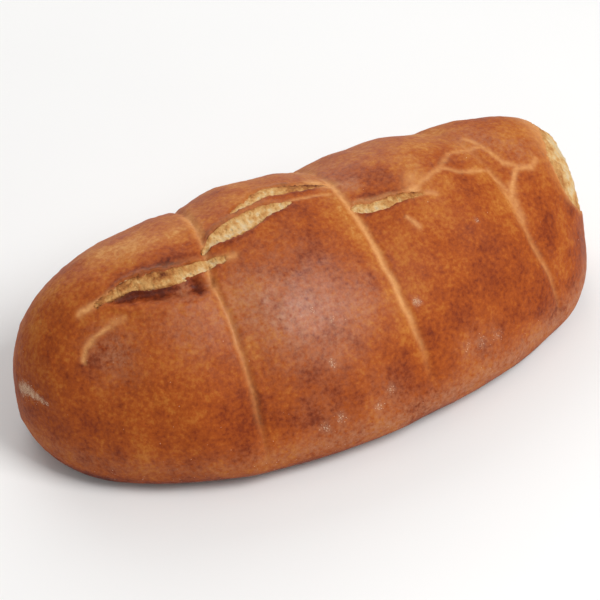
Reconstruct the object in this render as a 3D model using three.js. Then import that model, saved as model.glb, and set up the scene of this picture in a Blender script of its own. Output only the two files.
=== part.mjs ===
// A long oval hearth loaf, baked dark, with three cross seams and a few lengthwise tears in its crust.
// Millimetres and degrees. The loaf lies along X on its flat base, +Z up, with its torn face towards -Y.
// Every point is named by a station along the loaf and an angle round its section:
// 0 degrees is the back (+Y), 90 the top, 180 the front (-Y) and 270 the base.
import * as THREE from 'three';

// Driving dimensions.
const loaf = { length: 300, width: 145, height: 95, girth: 21 }; // girth is the height of the widest line
const bow = 12;  // how far the two ends curve back
const lean = 13; // how far the crown leans back over the base
const left = { plan: 2, side: 2.8 };   // bluntness of the left end, from above and from the side
const right = { plan: 2.7, side: 5 };  // the right end is blunter: it grew against another loaf
const taper = { plan: -0.08, side: -0.075 }; // loss of width and height from the middle to the right end
const section = { above: 1.87, below: 3.2 };  // roundness of the section over and under the girth
const base = { spread: 1.15, liftFrom: 0.8 }; // flatness of the underside, and where its ends start to lift

// The three cross seams: the station, how far it slants per millimetre across, and its strength.
const seams = [
  { at: -55, slant: 0.1, strength: 1 },
  { at: 20.5, slant: -0.07, strength: 0.8 },
  { at: 93.3, slant: -0.277, strength: 0.7 },
];
const valley = { depth: 2.4, reach: 14 };  // the broad dip between two swelling segments
const groove = { depth: 1.2, reach: 2.4 }; // the narrow line along its floor
const seamFade = { from: 8, to: 44 };      // a seam dies out in between these heights

// The tears and hollows: stations and angles that the middle line passes through, half width and depth.
const tears = [
  { line: [[-120, 108], [-99, 104.2], [-77, 104], [-58, 105.5], [-43, 108.5]], half: 4.6, depth: 2.4 },
  { line: [[-105, 108], [-93, 110.5], [-80, 112.8], [-68, 114.2], [-57.5, 115]], half: 7.5, depth: 5 },
  { line: [[-57.5, 101.5], [-43, 95.8], [-33, 93.2], [-21, 91], [-7, 91.4]], half: 6, depth: 3.6 },
  { line: [[-37, 86], [-25, 82.2], [-14, 79.2], [-2, 79.8], [11, 83], [21, 87]], half: 4, depth: 2 },
  { line: [[19.5, 105.4], [30, 107.3], [42, 106.4], [57, 111.5]], half: 3.8, depth: 2 },
  { line: [[-125, 129], [-114, 122.5], [-107, 120.5], [-97, 119]], half: 3.8, depth: 1.6 },
];
const lip = { height: 0.28, at: 1.5, reach: 0.42 }; // the raised edge, as shares of the depth and half width

// The torn patch on the right end, where the neighbouring loaf was pulled off.
const patch = { across: 10, up: 50, halfAcross: 41, halfUp: 31, depth: 1.6 };

// Swellings that one segment has more of than the next: station, angle, reach along, reach round, height.
const swells = [
  { at: -34, angle: 76, along: 20, round: 30, height: 1 },
  { at: -92, angle: 80, along: 14, round: 24, height: 0.6 },
];

// Slow unevenness of the dough.
const lumps = [
  { height: 0.7, along: 47, round: 2, turn: 0.4 },
  { height: 0.5, along: 29, round: 3, turn: 1.9 },
  { height: 0.35, along: 17, round: 5, turn: 4.1 },
];
const foot = { from: 2, to: 16 }; // relief fades in between these heights, so that the base stays flat

const columns = 110;
const rows = { round: 40, under: 5 };

const halfLength = loaf.length / 2;
const radians = Math.PI / 180;

const clamp = (value, low, high) => Math.min(high, Math.max(low, value));
const bell = (value) => Math.exp(-value * value);
const power = (value, exponent) => Math.sign(value) * Math.abs(value) ** exponent;

function smoothStep(from, to, value) {
  const share = clamp((value - from) / (to - from), 0, 1);
  return share * share * (3 - 2 * share);
}

// The second number at a station, on a smooth curve through a few [station, number] points.
function throughPoints(points, station) {
  const last = points.length - 2;
  let i = 0;
  while (i < last && station > points[i + 1][0]) i += 1;
  const slopeAt = (k) => {
    const before = points[Math.max(k - 1, 0)];
    const after = points[Math.min(k + 1, points.length - 1)];
    return (after[1] - before[1]) / (after[0] - before[0]);
  };
  const step = points[i + 1][0] - points[i][0];
  const share = clamp((station - points[i][0]) / step, 0, 1);
  const ease = share * share * (3 - 2 * share);
  const start = share * (1 - share) ** 2 * slopeAt(i) * step;
  const finish = share ** 2 * (share - 1) * slopeAt(i + 1) * step;
  return points[i][1] * (1 - ease) + points[i + 1][1] * ease + start + finish;
}

// Half width, crown height, underside height and backward bow of the section at a place along X.
function sectionAt(x) {
  const share = clamp(x / halfLength, -1, 1);
  const end = share > 0 ? right : left;
  const swell = (bluntness) => Math.max(1 - Math.abs(share) ** bluntness, 0) ** (1 / bluntness);
  const lift = clamp((Math.abs(share) - base.liftFrom) / (1 - base.liftFrom), 0, 1);
  return {
    half: (loaf.width / 2) * swell(end.plan) * (1 + taper.plan * share),
    crown: loaf.girth + (loaf.height - loaf.girth) * swell(end.side) * (1 + taper.side * share),
    under: loaf.girth * (1 - Math.sqrt(1 - lift * lift)),
    middle: bow * share * share,
  };
}

// The smooth form, before any relief.
function formPoint(x, angle) {
  const { half, crown, under, middle } = sectionAt(x);
  const cos = Math.cos(angle * radians);
  const sin = Math.sin(angle * radians);
  const bulge = 2 / (sin >= 0 ? section.above : section.below);
  const rise = Math.abs(sin) ** bulge;
  const sunk = loaf.girth - base.spread * (loaf.girth - under) * rise;
  const z = sin >= 0 ? loaf.girth + (crown - loaf.girth) * rise : Math.max(under, sunk);
  const leanShare = clamp((z - loaf.girth) / (loaf.height - loaf.girth), 0, 1);
  return new THREE.Vector3(x, power(cos, bulge) * half + middle + lean * leanShare, z);
}

const slantPoints = [[-halfLength, 0], ...seams.map((seam) => [seam.at, seam.slant]), [halfLength, 0]];

// A grid station keeps to the slanting seams, so that a seam is one straight column of the grid.
function slantedPoint(station, angle) {
  const across = formPoint(station, angle).y;
  const endFade = 1 - (station / halfLength) ** 8;
  const x = station + throughPoints(slantPoints, station) * across * endFade;
  return formPoint(clamp(x, -halfLength, halfLength), angle);
}

// A tear's depth falls away to both sides and to both ends, and its lips stand a little proud.
function tearRelief(tear, station, angle) {
  const from = tear.line[0][0];
  const to = tear.line[tear.line.length - 1][0];
  const along = (2 * (station - from)) / (to - from) - 1;
  if (Math.abs(along) >= 1) return 0;
  const open = Math.sqrt(1 - along * along);
  const across = (angle - throughPoints(tear.line, station)) * radians * sectionAt(station).half;
  const side = across / (tear.half * (0.4 + 0.6 * open));
  const sunk = Math.abs(side) < 1 ? (1 - side * side) ** 2 : 0;
  const proud = lip.height * bell((Math.abs(side) - lip.at) / lip.reach);
  return tear.depth * open * (proud - sunk);
}

// Height of the relief over the smooth form.
function reliefAt(station, angle, point) {
  let height = 0;
  const seamShare = smoothStep(seamFade.from, seamFade.to, point.z);
  for (const seam of seams) {
    const away = station - seam.at;
    const dip = valley.depth * bell(away / valley.reach) + groove.depth * bell(away / groove.reach);
    height -= seamShare * seam.strength * dip;
  }
  for (const tear of tears) height += tearRelief(tear, station, angle);
  for (const swell of swells) {
    height += swell.height * bell((station - swell.at) / swell.along) * bell((angle - swell.angle) / swell.round);
  }
  for (const lump of lumps) {
    const wave = Math.sin((station / lump.along) * Math.PI + lump.turn);
    height += lump.height * wave * Math.cos(lump.round * angle * radians + lump.turn);
  }
  const patchAcross = (point.y - patch.across) / patch.halfAcross;
  const patchUp = (point.z - patch.up) / patch.halfUp;
  const onEnd = smoothStep(0.8, 0.92, station / halfLength);
  height -= patch.depth * onEnd * (1 - smoothStep(0.75, 1.05, Math.hypot(patchAcross, patchUp)));
  const nearPole = 1 - (station / halfLength) ** 12;
  return height * nearPole * smoothStep(foot.from, foot.to, point.z);
}

// The finished surface: the smooth form moved along its outward normal by the relief.
function loafPoint(station, angle) {
  const point = slantedPoint(station, angle);
  const step = 0.25;
  const alongWay = slantedPoint(station + step, angle).sub(slantedPoint(station - step, angle));
  const roundWay = slantedPoint(station, angle + step).sub(slantedPoint(station, angle - step));
  const outward = roundWay.cross(alongWay).normalize();
  point.addScaledVector(outward, reliefAt(station, angle, point));
  point.z = Math.max(point.z, 0);
  return point;
}

// Places between two limits, closer together where the density is higher.
function spread(count, from, to, density) {
  const samples = 4000;
  const sums = [0];
  for (let i = 0; i < samples; i += 1) {
    sums.push(sums[i] + density(from + ((i + 0.5) / samples) * (to - from)));
  }
  const places = [];
  let i = 0;
  for (let k = 0; k <= count; k += 1) {
    const wanted = (k / count) * sums[samples];
    while (i < samples - 1 && sums[i + 1] < wanted) i += 1;
    const share = clamp((wanted - sums[i]) / (sums[i + 1] - sums[i]), 0, 1);
    places.push(from + ((i + share) / samples) * (to - from));
  }
  return places;
}

// Stations crowd at the seams and the round ends; angles crowd at the tears.
function stationDensity(station) {
  const share = station / halfLength;
  const atSeams = seams.reduce((sum, seam) => sum + bell((station - seam.at) / 6), 0);
  return 1 / Math.sqrt(1.03 - share * share) + 1.1 * atSeams;
}

const angleDensity = (angle) => 1 + 2.4 * bell((angle - 104) / 20);

// The closed skin: rings of points between two poles, with one row of angles on each edge of the flat base.
function loafGeometry() {
  const flatEdge = Math.asin((1 / base.spread) ** (section.below / 2)) / radians;
  const round = spread(rows.round, -flatEdge, 180 + flatEdge, angleDensity);
  const under = spread(rows.under, 180 + flatEdge, 360 - flatEdge, () => 1).slice(1, -1);
  const angles = [...round, ...under];
  const stations = spread(columns, -halfLength, halfLength, stationDensity).slice(1, -1);

  const positions = [];
  const faces = [];
  const add = (point) => positions.push(point.x, point.y, point.z) / 3 - 1;
  const rings = stations.map((station) => angles.map((angle) => add(loafPoint(station, angle))));
  const leftPole = add(formPoint(-halfLength, 0));
  const rightPole = add(formPoint(halfLength, 0));

  angles.forEach((_, j) => {
    const next = (j + 1) % angles.length;
    for (let i = 0; i + 1 < rings.length; i += 1) {
      const [a, b, c, d] = [rings[i][j], rings[i][next], rings[i + 1][next], rings[i + 1][j]];
      faces.push(a, b, c, a, c, d);
    }
    const first = rings[0];
    const last = rings[rings.length - 1];
    faces.push(leftPole, first[next], first[j], rightPole, last[j], last[next]);
  });

  const geometry = new THREE.BufferGeometry();
  geometry.setAttribute('position', new THREE.Float32BufferAttribute(positions, 3));
  geometry.setIndex(faces);
  geometry.computeBoundingBox();
  const { min, max } = geometry.boundingBox;
  geometry.translate(-(min.x + max.x) / 2, -(min.y + max.y) / 2, -min.z);
  geometry.computeVertexNormals();
  return geometry;
}

const crust = new THREE.MeshStandardMaterial({ color: 0xa85a2a, roughness: 0.55, metalness: 0 });
const loafMesh = new THREE.Mesh(loafGeometry(), crust);
loafMesh.name = 'loaf';

const bread = new THREE.Group();
bread.add(loafMesh);
export default bread;
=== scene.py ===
import math

import bmesh
import bpy
import numpy as np
from mathutils import Matrix, Vector


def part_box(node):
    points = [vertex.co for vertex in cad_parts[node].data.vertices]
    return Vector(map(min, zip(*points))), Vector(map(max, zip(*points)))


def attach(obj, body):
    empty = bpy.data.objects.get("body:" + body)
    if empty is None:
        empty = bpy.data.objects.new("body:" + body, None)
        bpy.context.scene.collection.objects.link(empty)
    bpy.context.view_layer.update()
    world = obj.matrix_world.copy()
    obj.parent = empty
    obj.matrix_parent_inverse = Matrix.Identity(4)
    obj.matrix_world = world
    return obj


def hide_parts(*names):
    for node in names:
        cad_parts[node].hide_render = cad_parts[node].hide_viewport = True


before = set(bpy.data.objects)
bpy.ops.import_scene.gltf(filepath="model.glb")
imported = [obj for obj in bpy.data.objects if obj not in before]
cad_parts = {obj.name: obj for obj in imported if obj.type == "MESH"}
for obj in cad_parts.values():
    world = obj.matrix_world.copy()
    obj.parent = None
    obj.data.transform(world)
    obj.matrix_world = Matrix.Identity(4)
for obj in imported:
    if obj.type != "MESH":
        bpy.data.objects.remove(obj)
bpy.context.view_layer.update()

# Shapes are worked out in millimetres and degrees, then put into the mesh in metres.
# A point on the loaf is named by a station along it and an angle round its section:
# 0 degrees is the back (+Y), 90 the top, 180 the front (-Y) and 270 the base.
mm = 0.001
rad = math.pi / 180

loaf = {
    "length": 300, "width": 145, "height": 95, "girth": 21,  # girth is the height of the widest line
    "bow": 12,  # how far the ends curve back
    "lean": 13,  # how far the crown leans back over the base
    "leftPlan": 2.0, "leftSide": 2.8,  # bluntness of the left end, from above and from the side
    "rightPlan": 2.7, "rightSide": 5.0,  # the right end grew against another loaf
    "planTaper": -0.08, "sideTaper": -0.075,
    "roundAbove": 1.87, "roundBelow": 3.2,
    "baseSpread": 1.15, "baseLift": 0.8,
    "foot": (2, 16),  # relief fades in between these heights
}
halfLength = loaf["length"] / 2

# The cross seams: station, slant per millimetre across, strength, how pale the line is, the angle where it
# starts to fade towards the crown, the heights between which it comes up, how much paler the skin is left and
# right of it, and how far it strays from its station at some angles.
seams = [
    {"at": -55.0, "slant": 0.1, "strength": 1.0, "pale": 0.6, "crown": 86, "rises": (8, 80),
     "beside": (0.0, 0.05), "strays": [(60, 0), (98, 0), (112, -3.0), (129, -1.4), (155, -0.3), (200, 0)]},
    {"at": 20.5, "slant": -0.07, "strength": 0.8, "pale": 1.0, "crown": 87, "rises": (26, 72),
     "beside": (0.12, -0.03),
     "strays": [(50, 0), (80, -1.6), (121, -2.3), (144, -2.0), (162, -0.6), (200, 0)]},
    {"at": 93.3, "slant": -0.277, "strength": 0.7, "pale": 0.48, "crown": 124, "rises": (14, 50),
     "beside": (0.04, 0.03),
     "strays": [(100, 0), (124, -1.4), (140, -3.4), (149, -3.4), (160, -1.5), (185, -0.8)]},
]
seamShape = {"valley": (0, 14, 2.4), "groove": (0, 2.4, 1.2), "fade": (8, 44)}

# The tears: middle line, half width, a power that shifts the fullest place (above 1 to the right), depth,
# and the share of the width that the ends keep. A bed of torn crumb lies in each one that has a tilt: fill is
# its height, bite how far the crust is cut under it, the dark edge how much painted shade darkens its lower
# edge in the crevice, browned how much it is toasted and from where to where (-1 is its left end), thin and
# char how pale and then dark the skin above it is.
plainTear = {"fuller": 1.0, "tilt": None, "bite": 0.9, "fill": -0.5, "shadedEdge": 0.0}
tears = {
    "leftSplit": {
        **plainTear, "half": 3.7, "fuller": 1.35, "depth": 2.4, "ends": 0.34, "tilt": 0.6, "bite": 1.2,
        "fill": -0.4, "browned": (0.32, 0.6, 0.0), "thin": 0.15, "char": 0.3,
        "line": [(-112, 107), (-99, 104.8), (-93, 104.6), (-88, 105.7), (-80, 106.8), (-71, 107.7),
                 (-65, 107.8), (-59, 107.2), (-48, 107.6)],
    },
    "leftHollow": {
        **plainTear, "half": 6.2, "depth": 4.2, "ends": 0.35,
        "line": [(-106, 107.6), (-93, 110.3), (-80, 112.4), (-68, 113.8), (-56, 114.6)],
    },
    "middleSplit": {
        **plainTear, "half": 5.9, "fuller": 0.88, "depth": 3.6, "ends": 0.12, "tilt": 0.8, "bite": 1.2,
        "fill": -0.3, "shadedEdge": 0.5, "browned": (0, 0, 1), "thin": 0.25, "char": 0.06,
        "line": [(-57.5, 102.2), (-52, 98.9), (-43, 96.9), (-33, 95.2), (-21, 93.5), (-6, 93.2)],
    },
    "topSplit": {
        **plainTear, "half": 4.6, "depth": 2.0, "ends": 0.1, "tilt": 0.5,
        "shadedEdge": 0.3, "browned": (0.42, -0.05, 0.35), "thin": 0.3, "char": 0.0,
        "line": [(-37, 88), (-25, 84.4), (-16, 82), (-9, 82.8), (-2, 83.5), (9, 84.3), (17.5, 86)],
    },
    "rightSplit": {
        **plainTear, "half": 3.3, "fuller": 0.5, "depth": 2.0, "ends": 0.3, "tilt": 0.4,
        "browned": (0.3, -0.3, 0.1), "thin": 0.5, "char": 0.2,
        "line": [(18.6, 104.2), (26, 105.9), (33, 107.2), (41, 107.2), (52.5, 109.6)],
    },
}
# How the tears are cut: sides are counted in half widths, below zero above the tear.
tearShape = {
    "lip": (1.5, 0.42, 0.28), "cut": (1.02, 0.8), "shut": (0, 0.3), "ends": 0.3,
    "edge": (1.25, 0.3), "edgeRise": 0.35, "edgeToast": 0.18, "char": (-2.0, 0.7), "thin": (-2.3, -1.1),
    "hollow": (-0.1, 0.6, 0.42), "least": 0.35, "fade": (-66, -88),  # the hollow's darkness, partly browned crust and partly painted shade, fades along it
}
patch = {
    "across": 14, "up": 55, "halfAcross": 32.5, "halfUp": 25, "depth": 0.8,
    "rim": (0.75, 1.05), "end": (0.8, 0.92),  # in shares of its half sizes, and of half the length
}
# Swellings: station, angle, reach along, reach round, height. Lumps: height, length, waves round, turn.
swells = [(-34, 76, 20, 30, 1.0), (-92, 80, 14, 24, 0.6)]
lumps = [(0.7, 47, 2, 0.4), (0.5, 29, 3, 1.9), (0.35, 17, 5, 4.1)]

# Fine pale cracks and the thin ends of the tears: a short path of (station, angle), half width, how pale
# and how deep.
cracks = [
    ([(50, 107.5), (57, 105), (71, 101.5), (77.5, 107), (92.6, 110.5), (94, 125)], 1.4, 0.6, 0.3),
    ([(71, 101.5), (82.5, 95.5), (91, 96.5), (99, 97.5)], 1.5, 0.5, 0.3),
    ([(98, 88), (101, 101), (102.5, 111), (115, 118), (122, 114.8)], 1.4, 0.6, 0.3),
    ([(115, 118), (107, 115.5), (100, 120), (94, 125)], 1.4, 0.85, 0.35),
    ([(-118, 107.6), (-111, 106.6), (-103, 105.4), (-97, 104.9)], 1.7, 0.85, 0.4),
    ([(-60, 105.6), (-51, 107), (-44, 108)], 1.9, 0.75, 0.3),
    ([(-9, 92.2), (4, 92.2), (13, 93)], 1.2, 0.6, 0.4),
    ([(-124, 128.5), (-121.4, 123.8), (-114.5, 119.9), (-108.5, 118.5)], 0.9, 0.85, 0.55),
    ([(-110, 118.7), (-101, 117.5)], 1.4, 0.45, 0.3),
    ([(4, 81.6), (13, 83.5), (19, 86)], 2.0, 0.8, 0.3),
    ([(11.5, 81), (19, 87)], 3.8, 1.0, 0.2),
    ([(47, 107.4), (50.5, 107)], 2.4, 1.0, 0.3),
    ([(49, 106), (53, 101.5)], 3.4, 0.5, 0.1),
    ([(-65.6, 112.4), (-64.4, 117.2)], 2.4, 0.0, 1.1),
    ([(49, 108.6), (53, 110), (58, 112)], 1.3, 0.6, 0.3),
    ([(39.2, 116), (40.8, 120.6)], 1.2, 0.8, -0.2),
    ([(-54.6, 74), (-54.6, 84), (-54.4, 93)], 2.4, 0.7, 0.1),
    ([(98, 121.5), (94, 125), (92, 129), (90.6, 136)], 2.4, 0.6, 0.1),
]
crackShape = {"wander": [(7, 2, 23, 0.8), (7, 2, 24, 0.8)], "frayed": 0.35}


# In the dictionaries a bell is (place, reach, height), a step (from, to, height) and a noise (width of its
# cells, octaves, seed, height). A height that is left out is 1.
def bell(value, at=0, reach=1, height=1):
    share = (value - at) / reach
    return height * np.exp(-share * share)


def ease(value, low, high, height=1):
    share = np.clip((value - low) / (high - low), 0, 1)
    return height * (share * share * (3 - 2 * share))


def atLeast(least, share):
    return least + (1 - least) * share


def throughPoints(points, station):
    # a cubic between each two points that keeps the slope from the point before to the point after
    at, value = np.array(points, float).T
    ends = np.pad([at, value], ((0, 0), (1, 1)), "edge")
    along, rise = ends[:, 2:] - ends[:, :-2]
    slope = rise / along
    i = np.clip(np.searchsorted(at, station) - 1, 0, len(at) - 2)
    step = at[i + 1] - at[i]
    share = np.clip((station - at[i]) / step, 0, 1)
    eased = ease(station, at[i], at[i + 1])
    turns = share * (1 - share) ** 2 * slope[i] + share**2 * (share - 1) * slope[i + 1]
    return value[i] * (1 - eased) + value[i + 1] * eased + turns * step


def seamAway(seam, station, angle):
    # how far past the seam's line a point lies; the line strays from its station as it goes round
    return station - seam["at"] - throughPoints(seam["strays"], angle)


def spread(count, low, high, density):
    # places between two limits, closer together where the density is higher
    samples = np.linspace(low, high, 6001)
    middles = (samples[1:] + samples[:-1]) / 2
    sums = np.concatenate([[0], np.cumsum(density(middles))])
    return np.interp(np.linspace(0, sums[-1], count + 1), sums, samples)


scramble = {"x": 374761393, "y": 668265263, "z": 1274126177, "seed": 974711, "stir": 2246822519}
def randomAt(corner, seed):
    # a fixed scramble of three whole numbers and a seed into a number from 0 to 1
    whole = corner.astype(np.int64)
    mixed = whole[..., 0] * scramble["x"] + whole[..., 1] * scramble["y"] + whole[..., 2] * scramble["z"]
    mixed = (mixed + seed * scramble["seed"]) & 0xFFFFFFFF
    mixed = ((mixed ^ (mixed >> 13)) * scramble["stir"]) & 0xFFFFFFFF
    mixed = ((mixed ^ (mixed >> 15)) * scramble["y"]) & 0xFFFFFFFF
    return (mixed ^ (mixed >> 16)) / 4294967296.0


def smoothNoise(points, cell, seed):
    # gradient noise: a random slope at each corner of a lattice, eased between the corners
    place = points / cell
    corner = np.floor(place)
    share = place - corner
    ease = share**3 * (share * (share * 6 - 15) + 10)
    total = np.zeros(points.shape[:-1])
    for index in range(8):
        offset = np.array([index & 1, index >> 1 & 1, index >> 2 & 1])
        weight = np.prod(np.where(offset, ease, 1 - ease), axis=-1)
        away = share - offset
        dot = sum((randomAt(corner + offset, seed + 7 * k) * 2 - 1) * away[..., k] for k in range(3))
        total += weight * dot
    return total * 1.5


def noise(points, cell, octaves, seed, height=1):
    # sums of smooth noise, each octave half as wide and half as high
    return height * sum(0.5**k * smoothNoise(points, cell / 2**k, seed + 31 * k) for k in range(octaves))


def pitsIn(points, cell, reach, share, seed):
    # one random point per cell; round it, in a share of the cells, 1 less the square of distance over reach
    place = points / cell
    corner = np.floor(place)
    nearest = np.full(points.shape[:-1], 9.0)
    own = np.zeros_like(nearest)
    for index in range(27):
        neighbour = corner + np.array([index % 3, index // 3 % 3, index // 9]) - 1
        spot = np.stack([randomAt(neighbour, seed + k) for k in range(3)], axis=-1)
        distance = np.linalg.norm(neighbour + spot - place, axis=-1)
        own = np.where(distance < nearest, randomAt(neighbour, seed + 5), own)
        nearest = np.minimum(nearest, distance)
    return np.clip(1 - (nearest / reach) ** 2, 0, 1) * (own < share)


def swell(share, view):
    # a superellipse swell, each end with its own bluntness
    power = np.where(share > 0, loaf["right" + view], loaf["left" + view])
    return np.maximum(1 - np.abs(share) ** power, 0) ** (1 / power)


def sectionAt(x):
    # half width, height of the crown and of the base's lift, and how far the section is bowed back
    share = np.clip(x / halfLength, -1, 1)
    lift = np.clip((np.abs(share) - loaf["baseLift"]) / (1 - loaf["baseLift"]), 0, 1)
    half = loaf["width"] / 2 * swell(share, "Plan") * (1 + loaf["planTaper"] * share)
    rise = (loaf["height"] - loaf["girth"]) * swell(share, "Side") * (1 + loaf["sideTaper"] * share)
    under = loaf["girth"] * (1 - np.sqrt(1 - lift * lift))
    return half, loaf["girth"] + rise, under, loaf["bow"] * share * share


def signedPower(value, power):
    return np.sign(value) * np.abs(value) ** power


def leanAt(z):
    # how far the section leans back at this height
    return loaf["lean"] * np.clip((z - loaf["girth"]) / (loaf["height"] - loaf["girth"]), 0, 1)


def formPoint(x, angle):
    # a superellipse section above the girth, a flatter one cut off by the base below it, leaning back
    half, crown, under, middle = sectionAt(x)
    cos, sin = np.cos(angle * rad), np.sin(angle * rad)
    power = 2 / np.where(sin >= 0, loaf["roundAbove"], loaf["roundBelow"])
    rise = np.abs(sin) ** power
    girth = loaf["girth"]
    sunk = girth - loaf["baseSpread"] * (girth - under) * rise
    z = np.where(sin >= 0, girth + (crown - girth) * rise, np.maximum(under, sunk))
    y = signedPower(cos, power) * half + middle + leanAt(z)
    return np.stack(np.broadcast_arrays(x, y, z), axis=-1)


slantPoints = [(-halfLength, 0)] + [(s["at"], s["slant"]) for s in seams] + [(halfLength, 0)]


def slantedPoint(station, angle):
    # the station slides along X as the point goes across, so that each slanting seam keeps one station
    across = formPoint(station, angle)[..., 1]
    x = station + throughPoints(slantPoints, station) * across * (1 - (station / halfLength) ** 8)
    return formPoint(np.clip(x, -halfLength, halfLength), angle)


def outwardAt(station, angle):
    step = 0.25
    along = slantedPoint(station + step, angle) - slantedPoint(station - step, angle)
    turn = slantedPoint(station, angle + step) - slantedPoint(station, angle - step)
    outward = np.cross(turn, along)
    return outward / (np.linalg.norm(outward, axis=-1, keepdims=True) + 1e-9)


def tearHalf(tear, isOpen):
    # half width: the ends keep a share of it, and it swells with the openness squared
    return tear["half"] * atLeast(tear["ends"], isOpen**2)


def openAt(tear, station):
    # a half round over the tear's length; a power of the share along it shifts its fullest place
    start, end = tear["line"][0][0], tear["line"][-1][0]
    along = 2 * np.clip((station - start) / (end - start), 0, 1) ** tear["fuller"] - 1
    return np.sqrt(np.maximum(1 - along * along, 0))


def tearSpace(tear, station, angle):
    # how open the tear is at this station, and how far across it the point lies, in half widths
    isOpen = openAt(tear, station)
    across = (angle - throughPoints(tear["line"], station)) * rad * sectionAt(station)[0]
    return isOpen, across / tearHalf(tear, isOpen)


def patchShare(station, point, rim=patch["rim"]):
    # 1 on the torn end patch, 0 outside it
    across = (point[..., 1] - patch["across"]) / patch["halfAcross"]
    up = (point[..., 2] - patch["up"]) / patch["halfUp"]
    return ease(station / halfLength, *patch["end"]) * (1 - ease(np.hypot(across, up), *rim))


def broadRelief(station, angle, point):
    # everything but the tears: seams, swellings and slow unevenness
    height = np.zeros(point.shape[:-1])
    seamShare = ease(point[..., 2], *seamShape["fade"])
    for seam in seams:
        away = seamAway(seam, station, angle)
        dip = bell(away, *seamShape["valley"]) + bell(away, *seamShape["groove"])
        height -= seamShare * seam["strength"] * dip
    for at, turn, reachAlong, reachRound, rise in swells:
        height += bell(station, at, reachAlong, rise) * bell(angle, turn, reachRound)
    for rise, length, waves, turn in lumps:
        height += rise * np.sin(station / length * math.pi + turn) * np.cos(waves * angle * rad + turn)
    return height - patch["depth"] * patchShare(station, point)


def fadeAtEnds(height, station, point):
    return height * (1 - (station / halfLength) ** 12) * ease(point[..., 2], *loaf["foot"])


def perDegree(station):
    # millimetres along the skin for each degree, close to the crown
    return np.maximum(sectionAt(station)[0] * rad, 0.05)


def skinDistance(station, angle, at, turn):
    # millimetres from a place on the skin, with the skin laid flat
    return np.hypot(station - at, (angle - turn) * perDegree(station))


def pathDistance(path, station, angle):
    # distance in millimetres to a path of straight legs, on the skin laid flat
    scale = perDegree(station)
    nearest = np.full(station.shape, 1e3)
    for (at, turn), (nextAt, nextTurn) in zip(path, path[1:]):
        along, across = nextAt - at, (nextTurn - turn) * scale
        x, y = station - at, (angle - turn) * scale
        share = np.clip((x * along + y * across) / (along**2 + across**2), 0, 1)
        nearest = np.minimum(nearest, np.hypot(x - share * along, y - share * across))
    return nearest


print("form ready")


def addToScene(name, data):
    made = bpy.data.objects.new(name, data)
    bpy.context.scene.collection.objects.link(made)
    return made


def closedSkin(name, rings, values, leftPole=None):
    # rings of points from one pole to the other: four-sided faces between the rings, triangles at the poles
    count, around = rings.shape[:2]
    poles = [rings[0].mean(0) if leftPole is None else leftPole, rings[-1].mean(0)]
    corners = np.concatenate([rings.reshape(-1, 3), poles]) * mm
    index = np.arange(count * around).reshape(count, around)
    beside = np.roll(index, -1, axis=1)
    quads = np.stack([index[:-1], beside[:-1], beside[1:], index[1:]], axis=-1).reshape(-1, 4)
    leftFan = np.stack([np.full(around, count * around), beside[0], index[0]], axis=-1)
    rightFan = np.stack([np.full(around, count * around + 1), index[-1], beside[-1]], axis=-1)
    mesh = bpy.data.meshes.new(name)
    mesh.from_pydata(corners.tolist(), [], quads.tolist() + leftFan.tolist() + rightFan.tolist())
    for key, numbers in values.items():
        layer = mesh.attributes.new(key, "FLOAT", "POINT")
        atPoles = [numbers[0].mean(), numbers[-1].mean()]
        layer.data.foreach_set("value", np.concatenate([numbers.ravel(), atPoles]).astype(np.float32))
    mesh.shade_smooth()
    return addToScene(name, mesh)


def standOnLoaf(piece, material):
    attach(piece, "root")
    piece.data.materials.append(material)
    triangles = sum(len(face.vertices) - 2 for face in piece.data.polygons)
    print(piece.name, "has", triangles, "triangles")


crust = {
    "columns": 400, "rows": 196, "underRows": 40,
    "endEase": 1.03,  # the nearer to 1, the closer the columns at the ends
    "seamCrowd": 1.2, "seamReach": 5,  # more columns at the seams
    "tearCrowd": (103, 19, 2.6),  # more rows round the tears
    "wander": 1.1, "wanders": [(9, 4, 11), (9, 4, 12)], "frayed": 0.5, "rough": (2.2, 3, 13),
    "relief": [(24, 2, 41, 0.45), (7, 3, 42, 0.16), (3.2, 2, 44, 0.1)],  # lumps, dimples and wrinkles
    "blister": 0.3, "blisters": (8, 0.42, 0.3, 43), "blisterToast": 0.12,
    "atFoot": 0.15, "lostOnCrumb": 0.8,  # the share left at the foot, and lost on torn crumb
}

tornEnd = {
    "rings": 96, "around": 280, "hidden": 7, "middle": (0.1, 0.02),  # the hidden rings start further out
    "reach": 1.12, "sunk": (0.92, 1.12), "bite": 3.6, "fill": -0.5, "under": 1.5, "floor": 0.8,
    "grain": 0.55, "grains": (6, 5, 81), "strands": (3.2, 3, 82, 0.45), "drawn": [1, 1, 0.4],
    "pit": 0.4, "pits": (3.4, 0.5, 0.55, 83),
    "toastAndShade": 0.1, "toastGrain": 0.32, "toastPit": 0.08, "rimToast": (0.5, 0.95, 0.36),
}
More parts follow.
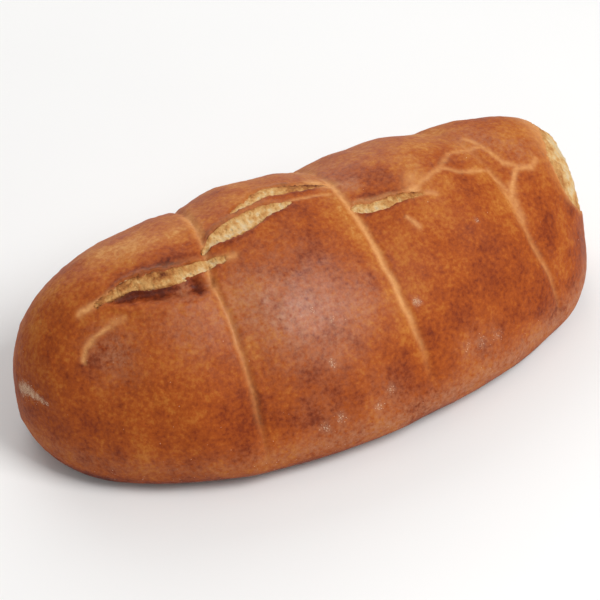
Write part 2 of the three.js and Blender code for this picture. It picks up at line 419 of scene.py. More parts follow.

# Places that are darker or, below zero, paler: station, angle, reach in millimetres, strength.
# Most are baked colour; round the middle sheen some pale ones are painted highlight and a dark one above it
# painted shade.
bakedAndPaintedLightPlaces = [
    (37, 92, 12, 0.25), (30, 84, 9, 0.16), (60, 131, 9, 0.2), (-15, 118, 9, 0.14), (104, 145, 8, 0.22),
    (89, 176, 11, 0.24), (-76, 96, 11, 0.2), (-96, 97, 9, 0.12), (-50, 95, 6, 0.2),
    (-65.6, 112.6, 2.6, 0.3), (-64.5, 116.2, 3.2, 0.3), (131, 140, 7, 0.2), (45, 155, 14, -0.03),
    (58, 112, 14, -0.16), (60, 168, 12, -0.08), (-75, 88, 12, -0.12), (68, 138, 22, 0.12),
    (118, 112, 10, -0.12), (-128, 112, 10, 0.05), (-108, 150, 18, 0.05), (-90, 84, 20, -0.2),
    (0, 74, 20, -0.05), (-87, 70, 5, 0.3), (-112, 128, 8, 0.14), (-71.2, 113, 2.6, -0.2),
    (-33, 155, 17, 0.15), (0, 168, 14, 0.05), (4, 82, 14, 0.14), (0, 100, 18, 0.1), (-22, 114, 15, 0.13),
    (-70, 98, 10, 0.16), (-99, 109, 9, 0.1), (-50, 138, 14, 0.08), (-62, 163, 16, 0.07),
    (8, 173, 12, 0.04), (-22, 176, 14, 0.08), (52, 152, 16, 0.06), (113, 151, 7, -0.14),
    (102, 163, 8, -0.1), (-118.5, 128, 3, 0.13), (-112, 123.5, 3, 0.12), (36, 158, 12, 0.05),
    (4, 134, 10, -0.07), (-84, 152, 12, -0.06), (-118, 172, 12, -0.06), (57, 101, 8, -0.08),
    (26, 93, 6, -0.12), (-58.5, 113, 3, -0.14), (-5, 148, 9, 0.06), (22, 156, 10, 0.06),
    (-105, 104, 8, 0.08), (108, 155, 16, -0.05), (-2.4, 79, 2.2, 0.4), (-48, 122, 10, -0.06),
]

# Where the skin has painted sheen and gloss: station, angle, reach in millimetres, painted sheen as a pale
# haze, gloss.
sheenAndGlossPlaces = [
    (-25, 133, 26, 0.28, 0.5), (-44, 126, 12, 0.2, 0.22), (-30, 134, 14, 0.08, 0.1),
    (-74, 126, 16, 0.2, 0.12), (-111, 130, 10, 0.3, 0.05), (-27, 169, 12, 0.12, 0.05),
    (-80, 80, 42, 0.06, 0.16), (10, 76, 50, 0.03, 0.1), (60, 74, 40, 0.06, 0.16),
    (20, 76, 16, 0.12, 0.05), (44, 168, 10, 0.22, 0.05), (0, 169, 9, 0.2, 0.05), (101, 92, 14, 0.25, 0.1),
    (57, 101, 12, 0.1, 0.1), (-14, 150, 10, 0.08, 0.05), (-45, 117, 9, 0.06, 0.1),
    (-71.2, 113, 2.6, 0.35, 0.0), (116, 108, 9, 0.25, 0.0), (26, 92, 6, 0.3, 0.0),
    (3, 137, 12, 0.12, 0.05),
]

# Flecks of flour that were baked on: station, angle, radius in millimetres, strength.
flourFlecks = np.array([
    (24, 143.5, 2.3, 0.7), (-19.5, 152, 2.4, 0.35), (2, 168, 2.4, 0.3), (-5, 172.5, 2.8, 0.3),
    (-21, 171.5, 3.0, 0.3), (-28, 174, 3.0, 0.3), (67, 127, 1.6, 0.25), (38, 166, 3.0, 0.14),
    (45, 167, 3.6, 0.2), (53, 168, 3.8, 0.16), (-20.5, 134, 1.8, 0.2), (-14, 139, 2.0, 0.2),
    (-148.7, 110, 3.2, 1.0), (-148, 117.8, 3.2, 1.1), (-147.2, 126, 2.8, 1.1), (-146.3, 132.3, 2.4, 1.2),
    (-145.2, 137.5, 2.0, 1.1), (-144, 141.5, 1.6, 1.0), (-142.6, 145, 1.2, 0.6),
])


def skinPlaces():
    # stations crowd at seams and round ends, angles at the tears, and a row lies on each edge of the base
    flatEdge = math.asin((1 / loaf["baseSpread"]) ** (loaf["roundBelow"] / 2)) / rad

    def density(station):
        atSeams = sum(bell(station, seam["at"], crust["seamReach"]) for seam in seams)
        return 1 / np.sqrt(crust["endEase"] - (station / halfLength) ** 2) + crust["seamCrowd"] * atSeams

    stations = spread(crust["columns"], -halfLength, halfLength, density)[1:-1]
    crowd = crust["tearCrowd"]
    above = spread(crust["rows"], -flatEdge, 180 + flatEdge, lambda angle: 1 + bell(angle, *crowd))
    under = spread(crust["underRows"], 180 + flatEdge, 360 - flatEdge, np.ones_like)[1:-1]
    return np.meshgrid(stations, np.concatenate([above, under]), indexing="ij")


def raiseTo(work, mask, value):
    work[mask] = np.maximum(work[mask], value)


def tearWork(station, angle, rough, work):
    # a bedded tear cuts a trench under its crumb; the other is only a dark hollow with a low lip, its depth
    # falling off as (1 - side squared) squared
    shape = tearShape
    for tear in tears.values():
        isOpen, side = tearSpace(tear, station, angle)
        if tear["tilt"] is None:
            sunk = np.where(np.abs(side) < 1, (1 - side * side) ** 2, 0)
            work["height"] += tear["depth"] * isOpen * (bell(np.abs(side), *shape["lip"]) - sunk)
            # the hollow is darkened: partly browned crust, partly painted shade in the recess
            fade = atLeast(shape["least"], ease(station, *shape["fade"]))
            work["toastAndShade"] += bell(side, *shape["hollow"]) * np.sqrt(isOpen) * fade
            continue
        cut = ease(np.abs(side), *shape["cut"]) * ease(isOpen, *shape["shut"])
        edge = bell(np.abs(side), *shape["edge"]) * isOpen * (1 - cut)
        depth = tear["depth"] * atLeast(shape["ends"], isOpen) + tear["bite"]
        work["height"] += shape["edgeRise"] * (1 + rough) * edge - depth * cut
        raiseTo(work, "crumb", cut)
        work["toastAndShade"] += shape["edgeToast"] * edge + tear["char"] * bell(side, *shape["char"]) * isOpen
        raiseTo(work, "pale", tear["thin"] * ease(side, *shape["thin"]) * (side < 0) * isOpen)


seamLine = {
    "reach": 1.6, "frayed": 0.3,  # half width of the pale line, and how uneven it is
    "wander": 0.7, "moreAtBack": (85, 45, 1.5), "wanders": (12, 3, 21),
    "fade": 14, "patchy": (-0.3, 0.25), "patches": (14, 2, 22),  # how it breaks up past the crown
    "beside": (4.5, 3), "near": (0, 9, 0.05),  # the paler skin beside it
    "shoulder": (3.2, 1.1, 0.1), "cut": 0.3,
}


def seamWork(station, angle, point, rough, work):
    # a pale line on the floor of each groove, between low shoulders; it fades and breaks up past the crown
    line, z = seamLine, point[..., 2]
    showing = ease(z, *seamShape["fade"])
    patchy = line["patchy"][1] - np.clip(noise(point, *line["patches"]), *line["patchy"])
    wander = line["wander"] * (1 + ease(angle, *line["moreAtBack"]))
    station = station + wander * noise(point, *line["wanders"])
    at, reach = line["beside"]
    for seam in seams:
        signed = seamAway(seam, station, angle)
        away = np.abs(signed)
        front = ease(angle, seam["crown"] - line["fade"], seam["crown"])
        pale = bell(away, 0, line["reach"]) * (1 + line["frayed"] * rough) * seam["pale"]
        raiseTo(work, "pale", pale * atLeast(front, patchy) * ease(z, *seam["rises"]))
        left, right = seam["beside"]
        paler = bell(signed, -at, reach, left) + bell(signed, at, reach, right)
        work["toastAndShade"] -= (paler + bell(away, *line["near"])) * showing
        rise = bell(away, *line["shoulder"]) - line["cut"] * bell(away)
        work["height"] += rise * showing * seam["strength"]


def crackWork(station, angle, point, rough, work):
    # shallow grooves along the listed paths, with a soft pale line in each
    across, along = (noise(point, *wander) for wander in crackShape["wander"])
    angle = angle + across / perDegree(station)
    for path, half, pale, depth in cracks:
        line = bell(pathDistance(path, station + along, angle) / half) * (1 + crackShape["frayed"] * rough)
        raiseTo(work, "pale", pale * line)
        work["height"] -= depth * line


patchRim = {
    "ragged": (16, 4, 33, 0.17), "raggedEnd": (0.7, 0.8), "frayed": 0.18, "torn": (0.35, 0.6),
    "rise": (0.3, 0.12, 0.1), "paleToast": (0.0, 0.35, 0.2), "pale": (0.05, 0.5, 0.9),
    "halo": (0.95, 1.42), "haloRises": (52, 78, 0.83),  # a pale ring round the patch, high up only
}


def patchWork(station, point, rough, work):
    # the end that was joined to another loaf: the crust is cut away round a bed of torn crumb
    rim = patchRim
    ragged = noise(point, *rim["ragged"]) * ease(station / halfLength, *rim["raggedEnd"])
    share = patchShare(station, point) + ragged
    torn = ease(share + rim["frayed"] * rough, *rim["torn"])
    work["patch"] = bell(share, *rim["rise"]) * (1 - torn) - tornEnd["bite"] * torn
    work["toastAndShade"] -= ease(share, *rim["paleToast"])
    raiseTo(work, "crumb", torn)
    raiseTo(work, "pale", ease(share, *rim["pale"]))
    halo = patchShare(station, point, rim["halo"]) * ease(point[..., 2], *rim["haloRises"])
    raiseTo(work, "pale", halo)


bakingAndShade = {
    "middle": 0.5, "slow": (30, 2, 51, 0.15), "quick": (9, 4, 52, 0.1), "stray": 0.25,
    # rim and foot are painted shade, darker towards the floor
    "crown": (80, 24, -0.1), "flank": (36, 15, 0.09), "rim": (13, 7, 0.3), "foot": (6, 2, 0.15),
}


def bakedAndShadedSkin(station, angle, point, stray):
    # baked mottling, slow and quick, listed places, a paler crown, a darker flank, painted shade at the
    # bottom rim
    shade = bakingAndShade["middle"] + noise(point, *bakingAndShade["slow"]) + noise(point, *bakingAndShade["quick"])
    for at, turn, reach, strength in bakedAndPaintedLightPlaces:
        shade += strength * bell(skinDistance(station, angle, at, turn) / reach + bakingAndShade["stray"] * stray)
    shade += bell(angle, *bakingAndShade["crown"]) + bell(point[..., 2], *bakingAndShade["flank"])
    return shade + ease(point[..., 2], *bakingAndShade["rim"]) + ease(point[..., 2], *bakingAndShade["foot"])


sheenAndGloss = {
    "left": 0.15, "right": (-100, 10, 0.25), "foot": (18, 8),  # a painted reflection along the foot, as a pale haze
    "gloss": 0.04, "paintedSheenStray": 0.25, "glossStray": 0.2,
}


def sheenAndGlossOf(station, angle, point, stray):
    # two masks: a painted sheen and reflection, as a pale haze in the skin's colour, and how glossy it is
    paintedSheen = (sheenAndGloss["left"] + ease(station, *sheenAndGloss["right"])) * bell(point[..., 2], *sheenAndGloss["foot"])
    gloss = sheenAndGloss["gloss"] * (1 + stray)
    for at, turn, reach, pale, shine in sheenAndGlossPlaces:
        share = skinDistance(station, angle, at, turn) / reach
        paintedSheen += pale * bell(share + sheenAndGloss["paintedSheenStray"] * stray)
        gloss += shine * bell(share + sheenAndGloss["glossStray"] * stray)
    return paintedSheen, gloss


dusting = {
    "foot": (3, 0, 0.3), "footFrayed": (-0.1, 0.5),  # a little flour round the base
    "fleck": (1.4, 0.2, 0.55), "frayed": (1.8, 3, 61, 0.3),
}


def flourOn(point, rough):
    # round flecks with a frayed edge, and a little flour round the base
    flour = ease(point[..., 2], *dusting["foot"]) * ease(rough, *dusting["footFrayed"])
    frayed = noise(point, *dusting["frayed"])
    for at, turn, reach, strength in flourFlecks:
        away = np.linalg.norm(point - slantedPoint(at, turn), axis=-1) / reach + frayed
        flour = np.maximum(flour, strength * ease(away, *dusting["fleck"]))
    return flour


# the first mask holds baked browning and painted shade, the fifth a painted sheen and reflection
masks = ("toastAndShade", "pale", "crumb", "flour", "paintedSheen", "gloss")


def crustSkin(station, angle):
    # the form, moved out along its normal by broad relief, tears, cracks and fine noise
    point = slantedPoint(station, angle)
    rough = noise(point, *crust["rough"])
    stray, strayAlong = (noise(point, *wander) for wander in crust["wanders"])
    raggedStation = station + crust["wander"] * strayAlong
    raggedAngle = angle + (crust["wander"] * stray + crust["frayed"] * rough) / perDegree(station)
    work = {key: np.zeros_like(station) for key in ("toastAndShade", "pale", "crumb")}
    work["height"] = broadRelief(station, angle, point)
    tearWork(raggedStation, raggedAngle, rough, work)
    seamWork(station, angle, point, rough, work)
    crackWork(station, angle, point, rough, work)
    patchWork(station, point, rough, work)

    bubble = pitsIn(point, *crust["blisters"]) ** 1.5
    fine = sum(noise(point, *relief) for relief in crust["relief"]) + crust["blister"] * bubble
    fine *= atLeast(crust["atFoot"], ease(point[..., 2], *loaf["foot"]))
    fine *= 1 - crust["lostOnCrumb"] * work["crumb"]
    height = fadeAtEnds(work["height"], station, point) + fine + work["patch"]
    skin = point + outwardAt(station, angle) * height[..., None]
    skin[..., 2] = np.maximum(skin[..., 2], 0)

    work["toastAndShade"] += bakedAndShadedSkin(station, angle, point, stray) + crust["blisterToast"] * bubble
    work["flour"] = flourOn(point, rough)
    work["paintedSheen"], work["gloss"] = sheenAndGlossOf(station, angle, point, stray)
    return skin, {key: np.clip(work[key], 0, 1) for key in masks}


stationGrid, angleGrid = skinPlaces()
skin, skinValues = crustSkin(stationGrid, angleGrid)
boxLow, boxHigh = (np.array(corner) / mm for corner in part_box("loaf"))
middle = (boxLow + boxHigh) / 2 - (skin.min((0, 1)) + skin.max((0, 1))) / 2
shift = np.array([middle[0], middle[1], boxLow[2]])  # sets the skin over the frame's own box
crustPiece = closedSkin("crust", skin + shift, skinValues, formPoint(-halfLength, 0) + shift)
print("crust shaped, set over the frame by", shift.round(2), "mm")

grains = {
    "perFleck": 22, "scatter": 0.42,  # how many in a fleck, and how far apart in its radius
    "loose": 1100, "margin": 6, "from": -41, "round": 262,  # how many lie loose, and between which places
    "anywhere": 0.04, "low": (4, 14, 0.9),  # how likely a loose one stays, anywhere and low down
    "size": (0.1, 0.27), "stretch": (0.6, 1.3), "flat": 0.45, "sunk": 0.25, "seed": 5,
}


def placesRound(known, values):
    # the two known places round each value, and how far it lies between them
    row = np.interp(values, known, np.arange(len(known)))
    before = row.astype(int)
    return before, np.minimum(before + 1, len(known) - 1), (row - before)[:, None]


def flourGrains():
    # squashed little icosahedra: some in each fleck, some loose, more of those low on the loaf
    random = np.random.default_rng(grains["seed"])
    groups = []
    step = 0.1
    for at, turn, reach, strength in flourFlecks:
        count = int(grains["perFleck"] * strength * reach**1.5)
        off = random.normal(0, grains["scatter"] * reach, (count, 2))
        stretch = np.linalg.norm(slantedPoint(at + step, turn) - slantedPoint(at - step, turn)) / (2 * step)
        groups.append([at, turn] + off / [stretch, perDegree(at)])
    sides = [2 * (halfLength - grains["margin"]), grains["round"]]
    loose = random.random((grains["loose"] * 3, 2)) * sides + [grains["margin"] - halfLength, grains["from"]]
    heights = formPoint(loose[:, 0], loose[:, 1])[:, 2]
    kept = random.random(len(loose)) < grains["anywhere"] + bell(heights, *grains["low"])
    groups.append(loose[kept][:grains["loose"]])
    station, angle = np.concatenate(groups).T
    station = np.clip(station, 1 - halfLength, halfLength - 1)

    # each one stands on the crust's own mesh, between the four corners round it
    before, after, up = placesRound(stationGrid[:, 0], station)
    left, right, over = placesRound(angleGrid[0], angle)
    near = skin[before, left] * (1 - over) + skin[before, right] * over
    far = skin[after, left] * (1 - over) + skin[after, right] * over
    outward = outwardAt(station, angle)
    size = random.uniform(*grains["size"], len(station))[:, None]
    place = near * (1 - up) + far * up + shift - outward * size * grains["sunk"]

    golden = (1 + math.sqrt(5)) / 2
    corners = np.array([[0, a, b * golden] for a in (-1, 1) for b in (-1, 1)], float)
    corners = np.concatenate([np.roll(corners, k, axis=1) for k in range(3)]) / math.hypot(1, golden)
    spin = np.linalg.qr(random.normal(size=(len(station), 3, 3)))[0]
    stretch = random.uniform(*grains["stretch"], (len(station), 1, 3))
    shapes = np.einsum("nij,nkj->nki", spin, corners[None] * stretch) * size[:, None]
    flat = np.einsum("nki,ni->nk", shapes, outward)[..., None] * outward[:, None] * grains["flat"]
    return place, shapes - flat


beds = {
    "cell": 0.36, "ends": 0.985, "reach": 1.3, "sunk": (1.0, 1.3), "under": 1.2, "floor": 0.6,
    "grain": 0.4, "grains": (3.2, 4, 71), "strands": (2.4, 3, 72, 0.3), "drawn": [1, 0.35, 1],
    "pit": 0.5, "pits": (2.2, 0.5, 0.6, 73),
    "toastAndShade": 0.26, "toastGrain": 0.3, "toastPit": 0.18,  # how brown it is, on its grain, in its pits
    # rims darken under the crust edge, toast and painted shade; lowEdge places the lower edge's painted shade
    "highToast": 0.2, "edgeToast": (0.8, 1.15, 0.2), "lowEdge": (0.4, 0.9), "endToast": 0.1,
}


def crumbRelief(point, bed):
    # grain, strands drawn out along one axis and pits: how high they stand, and how brown they are
    rough = noise(point, *bed["grains"])
    pit = pitsIn(point, *bed["pits"])
    rise = bed["grain"] * rough + noise(point * bed["drawn"], *bed["strands"]) - bed["pit"] * pit
    return rise, bed["toastAndShade"] + bed["toastGrain"] * rough - bed["toastPit"] * pit


def lensHeight(bed, isTop, rise, share, deep):
    # the top dives under the crust at its rim, and the underside lies flat below it
    sunk = ease(share, *bed["sunk"])
    return np.where(isTop, rise * (1 - sunk) - deep * sunk, -deep - bed["floor"])


def crumbBed(name, tear):
    # a closed lens along the tear: the top is torn crumb that runs under the crust on both sides
    start, end = tear["line"][0][0], tear["line"][-1][0]
    reach, ends = beds["reach"], beds["ends"]
    across = int(2 * tear["half"] * reach / beds["cell"])
    top, under = np.linspace(-reach, reach, across), np.linspace(reach, -reach, across // 3)[1:-1]
    along = np.linspace(-ends, ends, int((end - start) / beds["cell"]))
    along, side = np.meshgrid(along, np.concatenate([top, under]), indexing="ij")
    isTop = np.arange(side.shape[1]) < across
    station = (start + end) / 2 + along * (end - start) / 2
    isOpen = openAt(tear, station)
    angle = throughPoints(tear["line"], station) + side * tearHalf(tear, isOpen) / perDegree(station)
    point = slantedPoint(station, angle)

    relief, toastAndShade = crumbRelief(point, beds)
    rise = tear["fill"] - tear["tilt"] * tear["depth"] * (0.5 + 0.5 * side) * isOpen + relief
    height = lensHeight(beds, isTop, rise, np.abs(side), tear["depth"] + tear["bite"] + beds["under"])
    height += fadeAtEnds(broadRelief(station, angle, point), station, point)
    rings = point + outwardAt(station, angle) * height[..., None] + shift
    # the rims and the lower edge get painted shade as well as toast
    toastAndShade += ease(np.abs(side), *beds["edgeToast"]) - beds["highToast"] * side
    toastAndShade += tear["shadedEdge"] * ease(side, *beds["lowEdge"]) + beds["endToast"] * (1 - isOpen) ** 2
    most, unbrowned, brownest = tear["browned"]
    toastAndShade += ease(along, unbrowned, brownest, most)
    return closedSkin(name, rings, {"toastAndShade": np.clip(toastAndShade, 0, 1)})


def inSection(x, across, up):
    # how far out and up a place lies in the section at x, in shares of its size, and the section's bluntness
    half, crown, under, middle = sectionAt(x)
    girth = loaf["girth"]
    tall = np.where(up > girth, crown - girth, loaf["baseSpread"] * (girth - under))
    power = np.where(up > girth, loaf["roundAbove"], loaf["roundBelow"])
    return (across - middle - leanAt(up)) / half, (up - girth) / tall, power


def endPlace(across, up):
    # where the right end stands at (y, z): halving steps along x until the section's own equation holds
    near, far = (np.full(across.shape, share * halfLength) for share in (0.6, 0.99999))
    for _ in range(30):
        x = (near + far) / 2
        out, rise, power = inSection(x, across, up)
        outside = np.abs(out) ** power + np.abs(rise) ** power > 1
        near, far = np.where(outside, near, x), np.where(outside, x, far)
    return np.stack([near, across, up], axis=-1)


def angleOf(point):
    # the angle round the section at a point of the form
    out, rise, power = inSection(*np.moveaxis(point, -1, 0))
    return np.arctan2(signedPower(rise, power / 2), signedPower(out, power / 2)) / rad


def tornEndBed():
    # a closed lens on the right end: rings run from its hidden middle to the rim and back over the crumb
    hidden, reach = tornEnd["hidden"], tornEnd["reach"]
    under, top = tornEnd["middle"]
    top = np.linspace(top, reach, tornEnd["rings"])[::-1]
    share = np.concatenate([np.linspace(under, reach, hidden + 1)[:-1], top])
    isTop = (np.arange(len(share)) >= hidden)[:, None]
    turns = np.linspace(0, 2 * math.pi, tornEnd["around"] + 1)[:-1]
    share, turn = np.meshgrid(share, turns, indexing="ij")
    across = patch["across"] + share * patch["halfAcross"] * np.cos(turn)
    up = patch["up"] + share * patch["halfUp"] * np.sin(turn)
    point = endPlace(across, up)
    step = 0.5
    slopeAcross = endPlace(across + step, up) - endPlace(across - step, up)
    slopeUp = endPlace(across, up + step) - endPlace(across, up - step)
    outward = np.cross(slopeAcross, slopeUp)
    outward /= np.linalg.norm(outward, axis=-1, keepdims=True)

    relief, toastAndShade = crumbRelief(point, tornEnd)
    form = fadeAtEnds(broadRelief(point[..., 0], angleOf(point), point), point[..., 0], point)
    rise = relief + tornEnd["fill"] + form + noise(point, *crust["relief"][0])
    height = lensHeight(tornEnd, isTop, rise, share, patch["depth"] + tornEnd["bite"] + tornEnd["under"])
    rings = point + outward * height[..., None] + shift
    toastAndShade += ease(share, *tornEnd["rimToast"])
    return closedSkin("crumb.tornEnd", rings, {"toastAndShade": np.clip(toastAndShade, 0, 1)})


def grainPiece(name, place, shapes):
    # every grain's corners, joined by the faces of their own convex hull
    tree = bmesh.new()
    for corner in shapes[0] / np.linalg.norm(shapes[0], axis=-1, keepdims=True):
        tree.verts.new(corner)
    bmesh.ops.convex_hull(tree, input=list(tree.verts))
    tree.verts.ensure_lookup_table()
    faces = np.array([[vert.index for vert in face.verts] for face in tree.faces])
    tree.free()
    count, corners = shapes.shape[:2]
    faces = (np.arange(count)[:, None, None] * corners + faces[None]).reshape(-1, 3)
    mesh = bpy.data.meshes.new(name)
    mesh.from_pydata(((place[:, None] + shapes).reshape(-1, 3) * mm).tolist(), [], faces.tolist())
    mesh.shade_smooth()
    return addToScene(name, mesh)


flourPiece = grainPiece("flour.grains", *flourGrains())
bedPieces = [crumbBed(f"crumb.{name}", tear) for name, tear in tears.items() if tear["tilt"] is not None]
bedPieces.append(tornEndBed())
print("torn crumb shaped")


def feed(tree, socket, value):
    # a socket takes a number, a colour or another node's output
    if isinstance(value, tuple):
        socket.default_value = (*value, 1)
    elif isinstance(value, (int, float)):
        socket.default_value = value
    else:
        tree.links.new(value, socket)


def nodeIn(tree, kind, inputs, **settings):
    # a node with its settings, its inputs fed by name or number
    node = tree.nodes.new("ShaderNode" + kind)
    for name, value in settings.items():
        setattr(node, name, value)
    for key, value in inputs.items():
        feed(tree, node.inputs[key], value)
    return node


def groupOf(name, numbers, result):
    # an empty node group: a place and some numbers go in, and one number comes out
    tree = bpy.data.node_groups.new(name, "ShaderNodeTree")
    tree.interface.new_socket("Place", in_out="INPUT", socket_type="NodeSocketVector")
    for title, value in numbers.items():
        tree.interface.new_socket(title, in_out="INPUT", socket_type="NodeSocketFloat").default_value = value
    tree.interface.new_socket(result, in_out="OUTPUT", socket_type="NodeSocketFloat")
    inward, outward = tree.nodes.new("NodeGroupInput"), tree.nodes.new("NodeGroupOutput")
    return tree, [inward.outputs[title] for title in ("Place", *numbers)], outward.inputs[result]


def noiseIn(tree, place, scale, detail, roughness=0.5):
    inputs = {"Vector": place, "Scale": scale, "Detail": detail, "Roughness": roughness}
    return nodeIn(tree, "TexNoise", inputs).outputs["Fac"]


def mathIn(tree, operation, *values, clamp=False):
    # one arithmetic node on numbers or other nodes' outputs
    return nodeIn(tree, "Math", dict(enumerate(values)), operation=operation, use_clamp=clamp).outputs[0]


def times(tree, *values, clamp=False):
    return mathIn(tree, "MULTIPLY", *values, clamp=clamp)


def rangeIn(tree, *values, kind="LINEAR"):
    # a value, the two values that go in and the two that come out for them
    return nodeIn(tree, "MapRange", dict(enumerate(values)), interpolation_type=kind).outputs["Result"]


def mixIn(tree, share, first, second):
    # mixes two colours, or other nodes' outputs
    return nodeIn(tree, "Mix", {0: share, 6: first, 7: second}, data_type="RGBA").outputs[2]


def rampIn(tree, share, stops):
    # a colour ramp through (place, colour) stops
    node = tree.nodes.new("ShaderNodeValToRGB")
    ramp = node.color_ramp
    while len(ramp.elements) < len(stops):
        ramp.elements.new(0.5)
    for element, (place, colour) in zip(ramp.elements, stops):
        element.position = place
        element.color = (*colour, 1)
    tree.links.new(share, node.inputs["Fac"])
    return node.outputs["Color"]


def groupIn(tree, group, place, inputs):
    return nodeIn(tree, "Group", {"Place": place, **inputs}, node_tree=group).outputs[0]


def attributeIn(tree, name):
    return nodeIn(tree, "Attribute", {}, attribute_name=name).outputs["Fac"]


effects = {
    "broad": (5, 0.6), "fine": (4, 0.6), "fineScale": 6.5,
    "pit": (0.05, 0.45, -1.0, 0.0), "grain": (6, 0.65), "grainScale": 1.7,
    "speck": (700.0, 4, 0.7), "speckRange": (0.3, 0.7, 0.35, 1.6),
}


def makeMottle():
    # uneven baking: slow, middling and quick noise added up round a half
    tree, (place, scale, fineShare), shade = groupOf("mottle", {"Scale": 60.0, "Fine": 0.5}, "Shade")
    broad = noiseIn(tree, place, scale, *effects["broad"])
    fine = noiseIn(tree, place, times(tree, scale, effects["fineScale"]), *effects["fine"])
    fine = times(tree, mathIn(tree, "SUBTRACT", fine, 0.5), fineShare)
    tree.links.new(mathIn(tree, "ADD", broad, fine), shade)
    return tree


def makePores():
    # a grainy skin: small pits from a cell pattern, over fine noise, as a height
    tree, (place, scale, pits), height = groupOf("pores", {"Scale": 400.0, "Pits": 0.5}, "Height")
    cells = nodeIn(tree, "TexVoronoi", {"Vector": place, "Scale": scale})
    pit = rangeIn(tree, cells.outputs["Distance"], *effects["pit"], kind="SMOOTHSTEP")
    grain = noiseIn(tree, place, times(tree, scale, effects["grainScale"]), *effects["grain"])
    tree.links.new(mathIn(tree, "MULTIPLY_ADD", pit, pits, grain), height)
    return tree


def makeDust():
    # makes a soft mask of flour thicker and thinner from speck to speck
    tree, (place, amount), mask = groupOf("flour dust", {"Amount": 0.0}, "Mask")
    uneven = rangeIn(tree, noiseIn(tree, place, *effects["speck"]), *effects["speckRange"])
    tree.links.new(times(tree, uneven, amount, clamp=True), mask)
    return tree


mottle, pores, dust = makeMottle(), makePores(), makeDust()


def materialOf(name, look, makeInputs):
    # a Principled material: even values from its look, and the inputs that its nodes make
    material = bpy.data.materials.new(name)
    material.use_nodes = True
    tree = material.node_tree
    shader = next(node for node in tree.nodes if node.type == "BSDF_PRINCIPLED")
    place = tree.nodes.new("ShaderNodeTexCoord").outputs["Object"]
    for title, value in {**look["surface"], **makeInputs(tree, place, look)}.items():
        feed(tree, shader.inputs[title], value)
    return material


def shadeIn(tree, place, toastAndShade, look):
    # the toast mask, which holds painted shade too, with mottling added round it
    shade = mathIn(tree, "SUBTRACT", groupIn(tree, mottle, place, look["mottle"]), 0.5)
    return mathIn(tree, "ADD", toastAndShade, times(tree, shade, look["mottled"]), clamp=True)


def bumpIn(tree, place, look):
    # pores and grain, raised by a bump
    height = groupIn(tree, pores, place, look["pores"])
    return nodeIn(tree, "Bump", {**look["bump"], "Height": height}).outputs["Normal"]


# A noise of a look is (scale, detail, roughness), a range two values that go in and two that come out.
crustLook = {
    "surface": {"Specular IOR Level": 0.14, "Coat Roughness": 0.42},
    "stops": [
        (0.0, (0.60, 0.27, 0.07)), (0.25, (0.48, 0.148, 0.02)), (0.5, (0.368, 0.072, 0.0065)),
        (0.75, (0.23, 0.035, 0.004)), (1.0, (0.10, 0.014, 0.004)),
    ],
    "seam": (0.68, 0.31, 0.105), "crumb": (0.64, 0.43, 0.2), "flour": (0.62, 0.42, 0.28),
    # the painted sheen's colour, broken into specks that stand for glints, and weaker on dark skin
    "paintedSheen": (0.46, 0.21, 0.11), "paintedSheenNoise": (420.0, 4, 0.7), "paintedSheenSpecks": (0.32, 0.68, 0.0, 2.0),
    "paintedSheenOnDark": (0.65, 0.9, 1.0, 0.1), "mottle": {"Scale": 75.0, "Fine": 1.4}, "mottled": 0.6,
    "frayNoise": (500.0, 4, 0.65), "fray": 0.5, "paleFray": (-0.1, 0.1, 0.75, 1.2),
    "crumbEdge": (0.4, 0.6, 0.0, 1.0), "roughness": (0.2, 0.9, 0.66, 0.55), "crumbRough": 0.3,
    "flourRough": 0.3, "glossNoise": (380.0, 4, 0.7), "glossPatches": (0.3, 0.7, 0.4, 1.3),
    "pores": {"Scale": 330.0, "Pits": 0.35}, "bump": {"Strength": 0.7, "Distance": 0.0006},
}


def browned(tree, place, look):
    # browned skin: toast and painted shade pick a colour; painted sheen, seams, torn crumb and flour go over
    # it
    toastAndShade, pale, crumb, flour, paintedSheen, gloss = (attributeIn(tree, name) for name in masks)
    shade = shadeIn(tree, place, toastAndShade, look)
    specks = rangeIn(tree, noiseIn(tree, place, *look["paintedSheenNoise"]), *look["paintedSheenSpecks"])
    specks = times(tree, specks, rangeIn(tree, shade, *look["paintedSheenOnDark"]))
    # painted sheen: a pale haze laid over the colour
    paintedSheenShare = times(tree, paintedSheen, specks, clamp=True)
    fray = noiseIn(tree, place, *look["frayNoise"])
    fray = mathIn(tree, "MULTIPLY_ADD", fray, look["fray"], -look["fray"] / 2)
    pale = times(tree, pale, rangeIn(tree, fray, *look["paleFray"]), clamp=True)
    crumb = rangeIn(tree, mathIn(tree, "ADD", crumb, fray), *look["crumbEdge"], kind="SMOOTHSTEP")
    dusted = groupIn(tree, dust, place, {"Amount": flour})
    colour = rampIn(tree, shade, look["stops"])
    for share, name in ((paintedSheenShare, "paintedSheen"), (pale, "seam"), (crumb, "crumb"), (dusted, "flour")):
        colour = mixIn(tree, share, colour, look[name])
    rough = rangeIn(tree, shade, *look["roughness"])
    for share, name in ((crumb, "crumbRough"), (dusted, "flourRough")):
        rough = mathIn(tree, "ADD", rough, times(tree, share, look[name]), clamp=True)
    patchy = rangeIn(tree, noiseIn(tree, place, *look["glossNoise"]), *look["glossPatches"])
    gloss = times(tree, gloss, patchy)
    bare = mathIn(tree, "SUBTRACT", 1.0, mathIn(tree, "MAXIMUM", crumb, dusted), clamp=True)
    coat = times(tree, gloss, bare, clamp=True)
    normal = bumpIn(tree, place, look)
    return {"Base Color": colour, "Roughness": rough, "Coat Weight": coat, "Normal": normal}


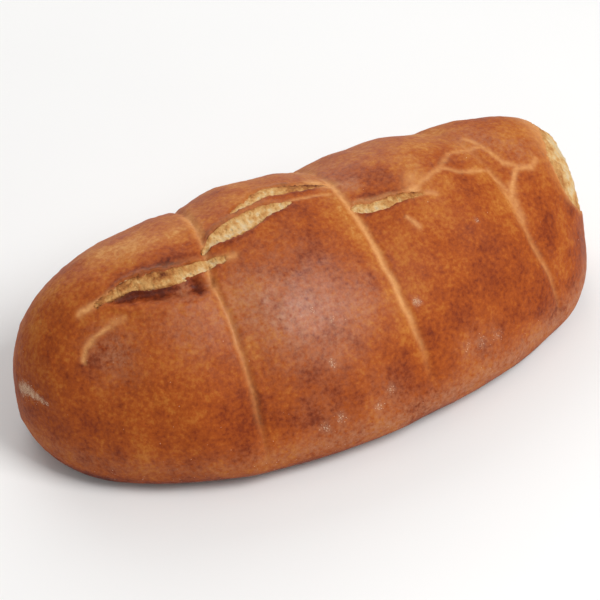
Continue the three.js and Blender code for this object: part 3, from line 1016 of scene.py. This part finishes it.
crumbLook = {
    "surface": {"Roughness": 0.85, "Specular IOR Level": 0.3},
    "stops": [
        (0.0, (0.66, 0.50, 0.29)), (0.15, (0.68, 0.45, 0.20)), (0.35, (0.60, 0.32, 0.105)),
        (0.65, (0.42, 0.16, 0.038)), (1.0, (0.13, 0.025, 0.006)),
    ],
    "mottle": {"Scale": 260.0, "Fine": 0.5}, "mottled": 0.9,
    "pores": {"Scale": 520.0, "Pits": 0.9}, "bump": {"Strength": 0.6, "Distance": 0.0008},
}


def torn(tree, place, look):
    # torn crumb: cream in the hollows, toasted where it stands up
    shade = shadeIn(tree, place, attributeIn(tree, "toastAndShade"), look)
    return {"Base Color": rampIn(tree, shade, look["stops"]), "Normal": bumpIn(tree, place, look)}


flourLook = {
    "surface": {"Roughness": 0.95, "Specular IOR Level": 0.2}, "noise": (300.0, 3),
    "stops": [(0.3, (0.56, 0.34, 0.2)), (0.7, (0.74, 0.56, 0.4))],
}


def twoTone(tree, place, look):
    # two shades that change slowly into each other
    return {"Base Color": rampIn(tree, noiseIn(tree, place, *look["noise"]), look["stops"])}


standOnLoaf(crustPiece, materialOf("browned crust", crustLook, browned))
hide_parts("loaf")
crumbMaterial = materialOf("torn crumb", crumbLook, torn)
for bed in bedPieces:
    standOnLoaf(bed, crumbMaterial)
standOnLoaf(flourPiece, materialOf("flour", flourLook, twoTone))
print("materials ready")

stage = {
    "half": 3.0, "stops": [(0.3, (0.90, 0.895, 0.885)), (0.7, (0.8865, 0.881575, 0.871725))],
    "noise": (6.0, 3), "surface": {"Roughness": 0.8}, "world": (1.0, 1.0, 1.0), "worldStrength": 0.4,
}


def makeFloor():
    mesh = bpy.data.meshes.new("floor")
    corners = [(x * stage["half"], y * stage["half"], 0) for x, y in ((-1, -1), (1, -1), (1, 1), (-1, 1))]
    mesh.from_pydata(corners, [], [(0, 1, 2, 3)])
    mesh.materials.append(materialOf("pale floor", stage, twoTone))
    floor = addToScene("floor", mesh)


def makeWorld():
    world = bpy.data.worlds.new("studio")
    world.use_nodes = True
    background = next(node for node in world.node_tree.nodes if node.type == "BACKGROUND")
    for name, value in (("Color", stage["world"]), ("Strength", stage["worldStrength"])):
        feed(world.node_tree, background.inputs[name], value)
    bpy.context.scene.world = world


# Softboxes: direction from the loaf, distance, side and power.
softboxes = {
    "key": ((0.33, -0.54, 0.78), 1.3, 0.6, 12.0),
    "back": ((0.1, 0.85, 0.6), 1.5, 1.2, 9.0),
    "left": ((-0.9, -0.5, 0.5), 1.6, 1.0, 1.0),
}


def makeSoftbox(name, direction, away, side, power):
    light = bpy.data.lights.new(name, "AREA")
    light.shape, light.size, light.energy = "SQUARE", side, power
    toward = Vector(direction).normalized()
    facing = toward.to_track_quat("Z", "Y").to_matrix().to_4x4()
    addToScene(name, light).matrix_world = Matrix.Translation(toward * away) @ facing


makeFloor()
makeWorld()
for name, box in softboxes.items():
    makeSoftbox(name, *box)

# The camera looks down on the loaf's front from its left, a little tipped.
view = {
    "turn": -26.044, "height": 41.841, "roll": -2.517, "away": 1087.443,
    "target": (-5.142, 7.222, 35.0), "sensor": 36.0, "focal": 134.67,
}


def makeCamera():
    # turned round Z, tilted down from level and rolled, then moved back from its target
    data = bpy.data.cameras.new("camera")
    data.sensor_width, data.lens = view["sensor"], view["focal"]
    camera = addToScene("camera", data)
    turn, height, roll = (view[key] * rad for key in ("turn", "height", "roll"))
    tilt = Matrix.Rotation(math.pi / 2 - height, 4, "X")
    facing = Matrix.Rotation(turn, 4, "Z") @ tilt @ Matrix.Rotation(roll, 4, "Z")
    target = Matrix.Translation(Vector(view["target"]) * mm)
    camera.matrix_world = target @ facing @ Matrix.Translation((0, 0, view["away"] * mm))
    bpy.context.scene.camera = camera


makeCamera()
bpy.context.scene.view_settings.view_transform = "Standard"
print("floor, lights and camera ready")
